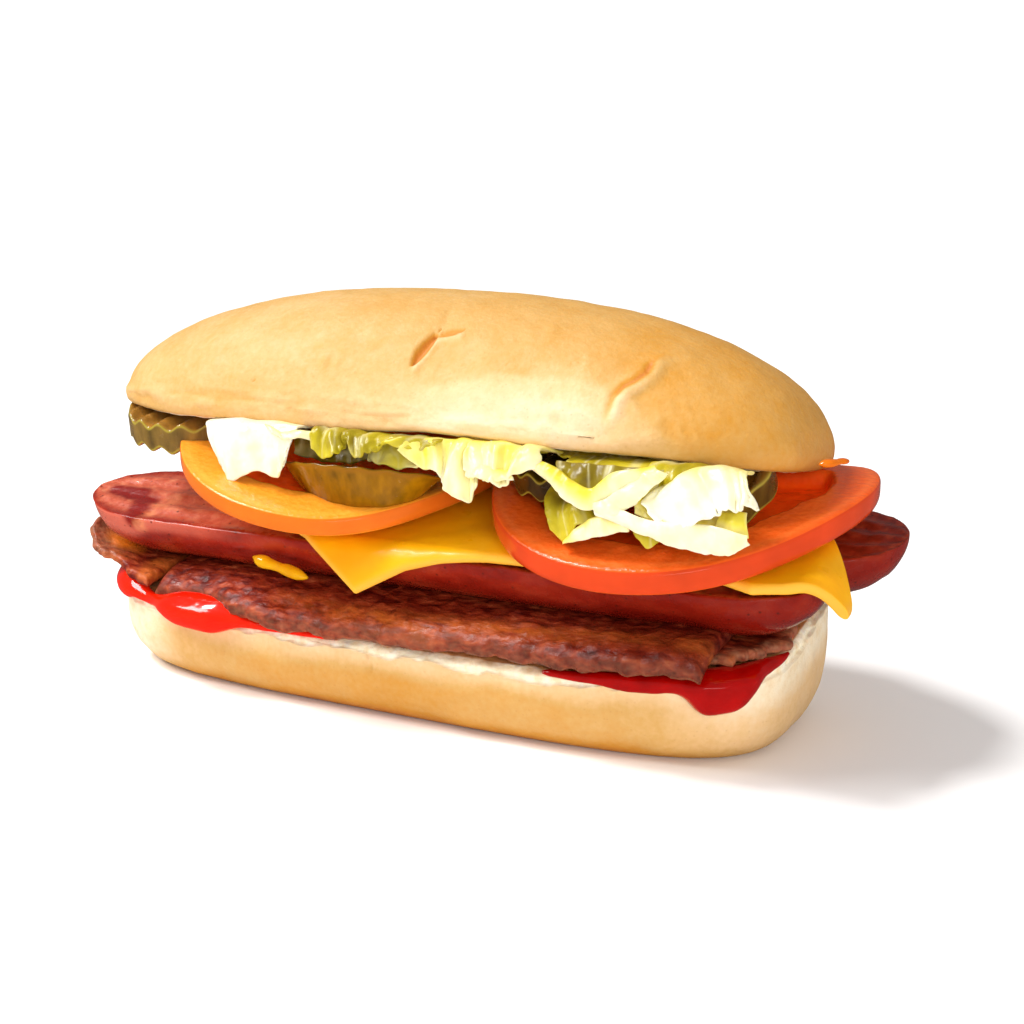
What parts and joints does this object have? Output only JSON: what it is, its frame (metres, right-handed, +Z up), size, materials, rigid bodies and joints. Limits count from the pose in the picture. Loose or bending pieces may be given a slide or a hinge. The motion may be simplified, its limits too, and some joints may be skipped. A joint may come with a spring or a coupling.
{
  "type": "bacon cheese hot dog",
  "caption": "Split frankfurter hot dog in a soft bun with bacon, cheese, tomato rings, crinkle-cut pickles, lettuce and ketchup; rests on the bun's flat underside.",
  "frame": {"origin": "centre of the flat face on the underside of the bun's lower half", "axes": "+X along the bun, to the right as seen from the side where the filling shows; +Y from that side to the back; +Z up"},
  "size_m": [0.1885, 0.0856, 0.0885],
  "materials": {
    "bun": "soft golden crust with pale torn crumb",
    "sausage": "glossy dark red skin, matt cut face",
    "bacon": "fried, dark red brown with greasy gloss",
    "cheese": "smooth satin, softened",
    "tomato": "wet cut face and glossy skin",
    "pickle": "wet crinkle-cut face, dark skin",
    "lettuce": "crisp satin leaf, pale rib to green frill"
  },
  "bodies": {
    "root": {"bun_bottom": "bun", "bun_top": "bun", "sausage_front": "sausage", "sausage_rear": "sausage", "bacon_front": "bacon", "bacon_left": "bacon", "bacon_right": "bacon", "bacon_rear": "bacon", "cheese_left": "cheese", "cheese_right": "cheese", "tomato_left": "tomato", "tomato_right": "tomato", "pickle_left": "pickle", "pickle_middle": "pickle", "pickle_right": "pickle", "pickle_inner": "pickle", "lettuce_left": "lettuce", "lettuce_frill": "lettuce", "lettuce_middle": "lettuce", "lettuce_shade": "lettuce", "lettuce_strand": "lettuce", "lettuce_right": "lettuce", "lettuce_lobe": "lettuce", "lettuce_curl": "lettuce", "lettuce_under": "lettuce", "lettuce_rear_left": "lettuce", "lettuce_rear_right": "lettuce"}
  },
  "joints": []
}
